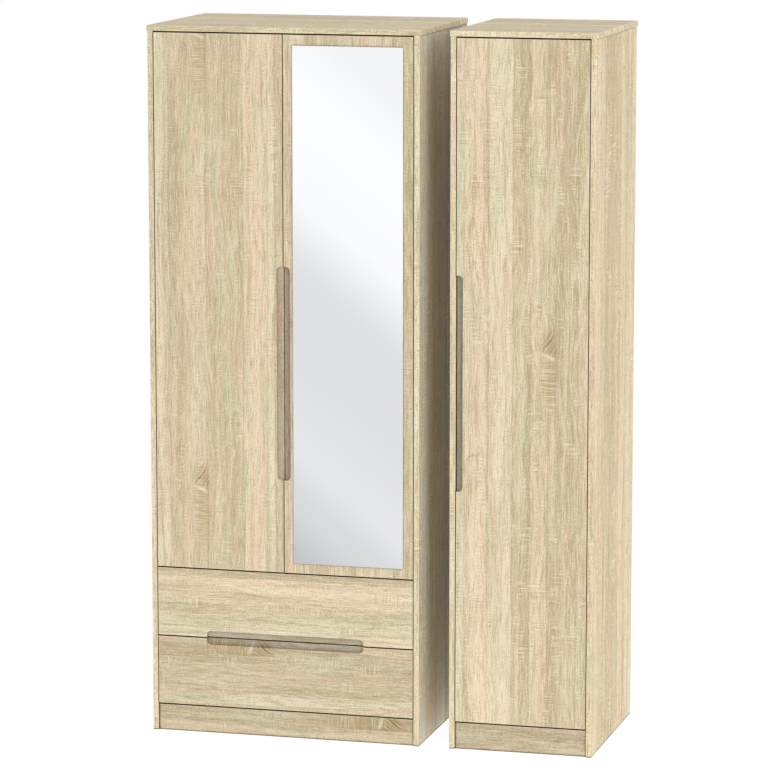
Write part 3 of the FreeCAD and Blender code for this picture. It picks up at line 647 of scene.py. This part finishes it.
def dress_boards():
    """Each board's grain, strips, tone, finger groove and knot; the grooves' tones, the plinths' tones
    and the wide right side carry painted shade.
    """
    doors, narrow, drawers = (OPENINGS[n + "finger_groove"] for n in ("door_", "narrow_", "drawer_"))
    left_low, left_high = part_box("left_door")
    narrow_low, narrow_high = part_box("narrow_door")
    drawer_low, drawer_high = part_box("lower_drawer_front")
    plinth_low, plinth_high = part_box("wide_front_plinth")

    def at(low, high, x, z):
        """A place on a front, as fractions from its left and from its foot."""
        return (low[0] + x * (high[0] - low[0]), low[1], low[2] + z * (high[2] - low[2]))

    knots = {
        "left_door": at(left_low, left_high, 0.41, 0.155),
        "narrow_door": at(narrow_low, narrow_high, 0.76, 0.548),
        "lower_drawer_front": at(drawer_low, drawer_high, 0.375, 0.78),
        "wide_front_plinth": at(plinth_low, plinth_high, 0.88, 0.50),
    }
    boards = {
        # each groove's tone is painted shade that darkens the groove, most on the mirror door and the
        # narrow door
        "left_door": ("door", "left_door", 0.955, 0.3, (doors, (0.80, 0.80, 0.84))),
        "mirror_door": ("door", "mirror_door", 0.97, 0.3, (doors, (0.56, 0.56, 0.57))),
        "narrow_door": ("door", "narrow_door", 0.94, 0.3, (narrow, (0.54, 0.54, 0.56))),
        "upper_drawer_front": ("front", "upper_drawer_front", 0.96, 0.3,
                               (drawers, (0.66, 0.66, 0.69))),
        "lower_drawer_front": ("front", "lower_drawer_front", 0.865, 0.3,
                               (drawers, (0.72, 0.73, 0.77))),
        # the plinths' low tones are painted shade below the fronts
        "wide_front_plinth": ("front", "plinth", 0.83, 0.2, None),
        "narrow_front_plinth": ("front", "plinth", 0.76, 0.2, None),
        "wide_top": ("level", "plain", 1.02, 0.1, None),
        "narrow_top": ("level", "plain", 1.02, 0.1, None),
        # the wide right side's cool tint is painted shade, like its grey strips
        "wide_right_side": ("side", "wide_right_side", (1.0, 1.03, 1.055), 0.2, None),
        "narrow_right_side": ("side", "narrow_right_side", (1.0, 0.975, 0.94), 0.15, None),
    }
    for prefix in ("wide", "narrow"):
        for hand in ("left", "right"):
            boards.setdefault(f"{prefix}_{hand}_side", ("side", "plain", 1.0, 0.2, None))
        boards[f"{prefix}_floor"] = ("level", "plain", 1.0, 0.3, None)
        boards[f"{prefix}_hat_shelf"] = ("level", "plain", 1.0, 0.3, None)
        boards[f"{prefix}_rear_plinth"] = ("front", "plain", 1.0, 0.3, None)
    boards["wide_divider"] = ("level", "plain", 1.0, 0.3, None)
    for drawer in ("upper_drawer", "lower_drawer"):
        boards[f"{drawer}_sides"] = ("drawer_side", "plain", 1.0, 0.3, None)
        boards[f"{drawer}_back"] = ("front", "plain", 1.0, 0.3, None)
    for seed, (node, (grain, strips, tone, gloss, groove)) in enumerate(boards.items(), start=11):
        figure = 1.15 if grain in ("side", "level") else 1.0
        lined = "door" in node or node.endswith("_front")
        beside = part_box("mirror") if node == "mirror_door" else None
        dress(node, oak_material(node, grain, seed, strips, tone, gloss, groove, knots.get(node),
                                 figure, lined, beside))
        round_edges(node, BOARD_ARRIS_MM)


def dress_fittings():
    hardboard = fibreboard_material()
    steel = speckled_material("plated_steel", (0.62, 0.61, 0.58, 1), 0.10, 1.2, 0.32, metallic=1.0)
    coated = speckled_material("coated_steel", (0.82, 0.81, 0.77, 1), 0.03, 0.8, 0.42)
    nylon = speckled_material("nylon", (0.84, 0.83, 0.78, 1), 0.03, 1.5, 0.5)
    plastic = speckled_material("moulded_plastic", (0.78, 0.76, 0.70, 1), 0.03, 1.2, 0.5)
    chrome = speckled_material("chrome_plate", (0.78, 0.79, 0.80, 1), 0.04, 6.0, 0.12, metallic=1.0)
    tape = speckled_material("foam_tape", (0.03, 0.03, 0.03, 1), 0.3, 0.8, 0.9)
    kinds = {
        "hardboard": hardboard, "plated_steel": steel, "coated_steel": coated, "nylon": nylon,
        "plastic": plastic, "chrome_tube": chrome, "mounting_tape": tape,
        "mirror_glass": mirror_material(),
    }
    for part in frame["record"]["subparts"]:
        if part["material_slot"] in kinds:
            dress(part["node"], kinds[part["material_slot"]])


def round_edges(node, width_mm):
    """A narrow flat arris on all of a node's sharp edges."""
    weld = NODES[node].modifiers.new("weld", "WELD")
    weld.merge_threshold = WELD_REACH
    bevel = NODES[node].modifiers.new("arris", "BEVEL")
    bevel.width = width_mm * MM
    bevel.segments = 1
    bevel.limit_method = "ANGLE"
    bevel.angle_limit = math.radians(ARRIS_ANGLE_DEG)
    bevel.use_clamp_overlap = False
    bevel.harden_normals = True


# ----------------------------------------------------------- small fitting pieces
# each head's outline: a share of its radius, at a share of its height
SCREW_PROFILE = ((1.0, 0.0), (1.0, 0.35), (0.95, 0.7), (0.84, 0.93), (0.70, 1.0))
NAIL_PROFILE = ((1.0, 0.0), (0.92, 0.55), (0.6, 0.9))
SMOOTH_ANGLE_DEG = 35


def lumps(node):
    """The box of each separate solid in a CAD node."""
    mesh = NODES[node].data
    key = [tuple(round(c, 5) for c in v.co) for v in mesh.vertices]
    parent = {k: k for k in key}

    def root(k):
        while parent[k] != k:
            parent[k] = parent[parent[k]]
            k = parent[k]
        return k

    for edge in mesh.edges:
        first, second = (root(key[i]) for i in edge.vertices)
        parent[first] = second
    groups = {}
    for k in parent:
        groups.setdefault(root(k), []).append(k)
    boxes = [(tuple(map(min, zip(*points))), tuple(map(max, zip(*points))))
             for points in groups.values()]
    return sorted(boxes)


def size_of(lump):
    return [high - low for low, high in zip(*lump)]


def centre_of(lump):
    return [(high + low) / 2 for low, high in zip(*lump)]


def circle(radius, sides):
    """Points round a circle, counter-clockwise from the first axis."""
    angles = (2 * math.pi * i / sides for i in range(sides))
    return [(radius * math.cos(a), radius * math.sin(a)) for a in angles]


def add_screw_head(bm, place, axis, radius, height, sides=24, recess=0.5):
    """A turned head with rounded shoulders and a cross recess."""
    turn = Vector((0, 0, 1)).rotation_difference(Vector(axis)).to_matrix().to_4x4()
    move = Matrix.Translation(Vector(place)) @ turn
    rings = []
    for reach, rise in SCREW_PROFILE:
        rings.append([bm.verts.new(move @ Vector((x, y, rise * height)))
                      for x, y in circle(reach * radius, sides)])
    for lower, upper in zip(rings, rings[1:]):
        for i in range(sides):
            j = (i + 1) % sides
            bm.faces.new((lower[i], lower[j], upper[j], upper[i]))
    bm.faces.new(reversed(rings[0]))

    arm, half = 0.50 * radius, 0.11 * radius
    corner = ((arm, -half), (arm, half), (half, half))
    outline = []
    for quarter in range(4):
        c, s = ((1, 0), (0, 1), (-1, 0), (0, -1))[quarter]
        outline += [(c * x - s * y, s * x + c * y) for x, y in corner]
    levels = []
    for level in (height, height * (1 - recess)):
        levels.append([bm.verts.new(move @ Vector((x, y, level))) for x, y in outline])
    mouth, floor = levels
    count = len(outline)
    for i in range(count):
        j = (i + 1) % count
        bm.faces.new((mouth[j], mouth[i], floor[i], floor[j]))
    bm.faces.new(floor)
    rims = [bm.edges.get((ring[i], ring[(i + 1) % len(ring)]))
            for ring in (rings[-1], mouth) for i in range(len(ring))]
    normal = move.to_3x3() @ Vector((0, 0, 1))
    bmesh.ops.triangle_fill(bm, use_beauty=True, use_dissolve=False, edges=rims, normal=normal)


def add_nail_head(bm, place, radius, height, sides=12):
    """A low domed head on the back, facing +Y."""
    x, y, z = place
    rings = []
    for reach, rise in NAIL_PROFILE:
        rings.append([bm.verts.new((x + across, y + rise * height, z + up))
                      for across, up in circle(reach * radius, sides)])
    crown = bm.verts.new((x, y + height, z))
    for lower, upper in zip(rings, rings[1:]):
        for i in range(sides):
            j = (i + 1) % sides
            bm.faces.new((lower[j], lower[i], upper[i], upper[j]))
    for i in range(sides):
        bm.faces.new((rings[-1][(i + 1) % sides], rings[-1][i], crown))


def finish_piece(name, bm, body, material):
    """Turn a bmesh into a named piece that rides on a body."""
    bmesh.ops.recalc_face_normals(bm, faces=bm.faces)
    mesh = bpy.data.meshes.new(name)
    bm.to_mesh(mesh)
    bm.free()
    mesh.materials.append(material)
    piece = bpy.data.objects.new(name, mesh)
    SCENE.collection.objects.link(piece)
    mesh.shade_smooth()
    mesh.set_sharp_from_angle(angle=math.radians(SMOOTH_ANGLE_DEG))
    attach(piece, body)
    return piece


def hinge_details(steel):
    """Screws on the cup ears, on the arms and on the mounting plates."""
    doors = (("left", "left_door", "wide_cabinet", 1), ("mirror", "mirror_door", "wide_cabinet", -1),
             ("narrow", "narrow_door", "narrow_cabinet", -1))
    ear_screw, arm_body, arm_face, arm_margin = 26.0 * MM, 52.0 * MM, 7.0 * MM, 12.0 * MM
    fixing_radius = 3.7 * MM
    plate_radius, plate_height, plate_sink = 3.9 * MM, 2.4 * MM, 1.6 * MM
    for name, door, cabinet, inwards in doors:
        bm = bmesh.new()
        for lump in lumps(f"{name}_hinge_cups"):
            x, _, z = centre_of(lump)
            for side in (-1, 1):
                add_screw_head(bm, (x, lump[1][1], z + side * ear_screw), (0, 1, 0),
                               fixing_radius, 1.1 * MM)
        finish_piece(f"{name}_cup_screws", bm, door, steel)

        bm = bmesh.new()
        for lump in lumps(f"{name}_hinge_arms"):
            face = lump[0][0] + arm_face if inwards > 0 else lump[1][0] - arm_face
            for back in (arm_margin, arm_body - arm_margin):
                place = (face, lump[1][1] - back, centre_of(lump)[2])
                add_screw_head(bm, place, (inwards, 0, 0), fixing_radius, 1.0 * MM)
        finish_piece(f"{name}_arm_screws", bm, cabinet, steel)

    for prefix in ("wide", "narrow"):
        low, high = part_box(f"{prefix}_floor")
        middle = (low[0] + high[0]) / 2
        bm = bmesh.new()
        for lump in lumps(f"{prefix}_hinge_screws"):
            x, y, z = centre_of(lump)
            inwards = 1 if x < middle else -1
            base = lump[1][0] - plate_sink if inwards > 0 else lump[0][0] + plate_sink
            add_screw_head(bm, (base, y, z), (inwards, 0, 0), plate_radius, plate_height,
                           recess=0.28)
        finish_piece(f"{prefix}_plate_screws", bm, f"{prefix}_cabinet", steel)


def cam_covers(zinc):
    """The turned face of every cam, where it shows in its board."""
    cam_diameter, cover_radius, cover_height = 15 * MM, 7.6 * MM, 0.5 * MM
    for prefix in ("wide", "narrow"):
        low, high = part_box(f"{prefix}_floor")
        middle = (low[0] + high[0]) / 2
        bm = bmesh.new()
        for lump in lumps(f"{prefix}_cam_fittings"):
            width, depth, height = size_of(lump)
            x, y, z = centre_of(lump)
            if abs(depth - cam_diameter) > MM:
                continue
            if height < width:
                place, axis = (x, y, lump[0][2]), (0, 0, -1)
            elif x < middle:
                place, axis = (lump[1][0], y, z), (1, 0, 0)
            else:
                place, axis = (lump[0][0], y, z), (-1, 0, 0)
            add_screw_head(bm, place, axis, cover_radius, cover_height, sides=36, recess=0.8)
        finish_piece(f"{prefix}_cam_faces", bm, f"{prefix}_cabinet", zinc)


def runner_screws(steel):
    """Screws that hold the runners to the cabinet's sides and to the drawers' sides."""
    low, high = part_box("wide_floor")
    middle = (low[0] + high[0]) / 2
    sheet, below_top = 1.2 * MM, 8 * MM
    cabinet_screws = (60 * MM, 224 * MM, 400 * MM)
    drawer_screws = (70 * MM, 230 * MM, 390 * MM)
    bm = bmesh.new()
    for lump in lumps("cabinet_runners"):
        inwards = 1 if centre_of(lump)[0] < middle else -1
        web = lump[0][0] + sheet if inwards > 0 else lump[1][0] - sheet
        height = (lump[0][2] + lump[1][2]) / 2
        for along in cabinet_screws:
            add_screw_head(bm, (web, lump[0][1] + along, height), (inwards, 0, 0), 3.2 * MM,
                           0.2 * MM, recess=0.8)
    finish_piece("runner_screws", bm, "wide_cabinet", steel)

    for drawer in ("upper_drawer", "lower_drawer"):
        side_low, side_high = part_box(f"{drawer}_sides")
        bm = bmesh.new()
        for lump in lumps(f"{drawer}_runners"):
            outwards = -1 if centre_of(lump)[0] < middle else 1
            web = side_low[0] - sheet if outwards < 0 else side_high[0] + sheet
            for along in drawer_screws:
                place = (web, lump[0][1] + along, lump[1][2] - below_top)
                add_screw_head(bm, place, (outwards, 0, 0), 3.4 * MM, 1.0 * MM)
        finish_piece(f"{drawer}_side_screws", bm, drawer, steel)


def back_nails(steel):
    """Nails that hold the hardboard to the sides and to the level boards."""
    pitch, half_board, end_margin = 118 * MM, 7.5 * MM, 25 * MM
    for prefix, sheets, boards in (
            ("wide", "wide_back_sheets", ("wide_floor", "wide_divider", "wide_hat_shelf")),
            ("narrow", "narrow_back", ("narrow_floor", "narrow_hat_shelf"))):
        low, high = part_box(sheets)
        scatter = random.Random(len(sheets))
        places = []
        rows = int((high[2] - low[2]) / pitch)
        for row in range(rows + 1):
            z = low[2] + end_margin + (high[2] - low[2] - 2 * end_margin) * row / rows
            places += [(x, z) for x in (low[0] + half_board, high[0] - half_board)]
        for board in boards:
            board_low, board_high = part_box(board)
            columns = int((high[0] - low[0]) / pitch)
            for column in range(1, columns):
                x = low[0] + (high[0] - low[0]) * column / columns
                places.append((x, (board_low[2] + board_high[2]) / 2))
        bm = bmesh.new()
        for x, z in places:
            x += scatter.uniform(-1.5, 1.5) * MM
            z += scatter.uniform(-4, 4) * MM
            add_nail_head(bm, (x, high[1], z), 2.4 * MM, 0.6 * MM)
        finish_piece(f"{prefix}_back_nails", bm, f"{prefix}_cabinet", steel)


def build_studio():
    """White room, short floor, two soft lamps, and a card that only the mirror sees."""
    SCENE.view_settings.view_transform = "Standard"
    white_world(seen=1.0, light=STUDIO_LEVEL)
    (left, front, ground), (right, _, top) = CAD_BOX
    side, ahead, behind = 3.0, 0.9, 3.0
    floor = add_sheet("floor", [(-side, front - ahead, ground), (side, front - ahead, ground),
                                (side, behind, ground), (-side, behind, ground)],
                      white_floor_material())
    floor.visible_glossy = False
    middle = ((left + right) / 2, front, top / 2)
    add_area_light("key", KEY_PLACE, middle, KEY_SIZE, KEY_WATTS)
    add_area_light("fill", FILL_PLACE, middle, FILL_SIZE, FILL_WATTS)
    card = add_sheet("reflection_card", [(CARD_LEFT, CARD_Y, CARD_FOOT), (CARD_RIGHT, CARD_Y, CARD_FOOT),
                                         (CARD_RIGHT, CARD_Y, CARD_TOP), (CARD_LEFT, CARD_Y, CARD_TOP)],
                     reflection_card_material())
    card.visible_camera = False
    card.visible_diffuse = False
    card.visible_shadow = False
    card.visible_transmission = False


add_camera()
build_studio()
dress_boards()
dress_fittings()
screw_steel = speckled_material("screw_steel", (0.66, 0.64, 0.58, 1), 0.12, 0.7, 0.3, metallic=1.0)
cam_zinc = speckled_material("cam_zinc", (0.55, 0.55, 0.54, 1), 0.14, 1.0, 0.42, metallic=1.0)
hinge_details(screw_steel)
cam_covers(cam_zinc)
runner_screws(screw_steel)
back_nails(speckled_material("nail_steel", (0.30, 0.29, 0.27, 1), 0.2, 0.6, 0.45, metallic=1.0))
round_edges("mirror", MIRROR_ARRIS_MM)
